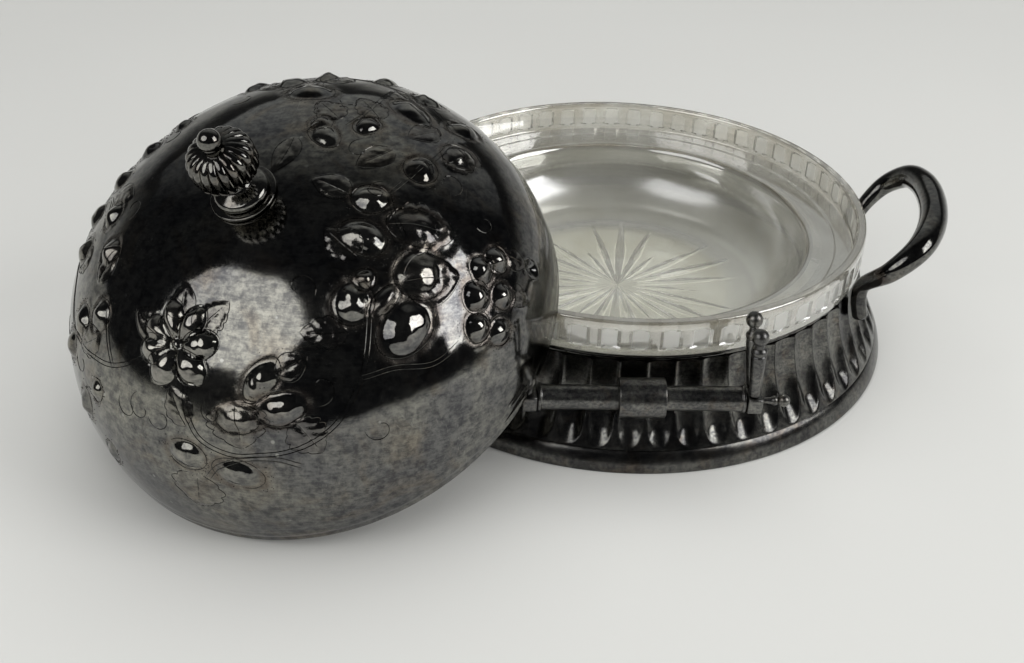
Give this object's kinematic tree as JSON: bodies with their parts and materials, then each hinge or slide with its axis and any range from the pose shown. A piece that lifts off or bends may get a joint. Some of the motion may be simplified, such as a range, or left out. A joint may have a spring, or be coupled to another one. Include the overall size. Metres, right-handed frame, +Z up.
{
  "type": "cheese dome",
  "caption": "Round cheese dome: fluted metal base with loop handles and a knife rest, a glass liner with a cut star, and a raised-flower cover set down against the rim.",
  "frame": {"origin": "centre of the bounding box, on the table plane", "axes": "+X along the long way of the object, from the laid-down cover towards the right-hand handle; +Y away from the knife rest; +Z up"},
  "size_m": [0.2692, 0.2258, 0.1081],
  "materials": {
    "tarnished_plate": "polished silver plate, heavily tarnished, near black with worn bright patches",
    "clear_glass": "clear pressed glass with a cut star and moulded rim blocks"
  },
  "bodies": {
    "base": {"base_skirt": "tarnished_plate", "foot_band": "tarnished_plate", "handle_left": "tarnished_plate", "handle_right": "tarnished_plate", "prong_left_back": "tarnished_plate", "prong_left_front": "tarnished_plate", "prong_right_back": "tarnished_plate", "prong_right_front": "tarnished_plate", "rest_bar": "tarnished_plate", "rest_block_left": "tarnished_plate", "rest_block_right": "tarnished_plate", "rest_end_left": "tarnished_plate", "rest_end_right": "tarnished_plate", "rest_sleeve": "tarnished_plate", "seat_ring": "tarnished_plate"},
    "liner": {"glass_liner": "clear_glass"},
    "cover": {"dome_shell": "tarnished_plate", "knob_ball": "tarnished_plate", "knob_flange": "tarnished_plate", "knob_melon": "tarnished_plate", "knob_nut": "tarnished_plate", "knob_plate": "tarnished_plate", "knob_stud": "tarnished_plate", "knob_washer": "tarnished_plate"}
  },
  "joints": [
    {"name": "liner_lift", "type": "slide", "parent": "base", "child": "liner", "axis": [0, 0, 1], "range_m": [0, 0.06]},
    {"name": "cover_lift", "type": "slide", "parent": "liner", "child": "cover", "axis": [0, 0, 1], "range_m": [0, 0.075]}
  ]
}
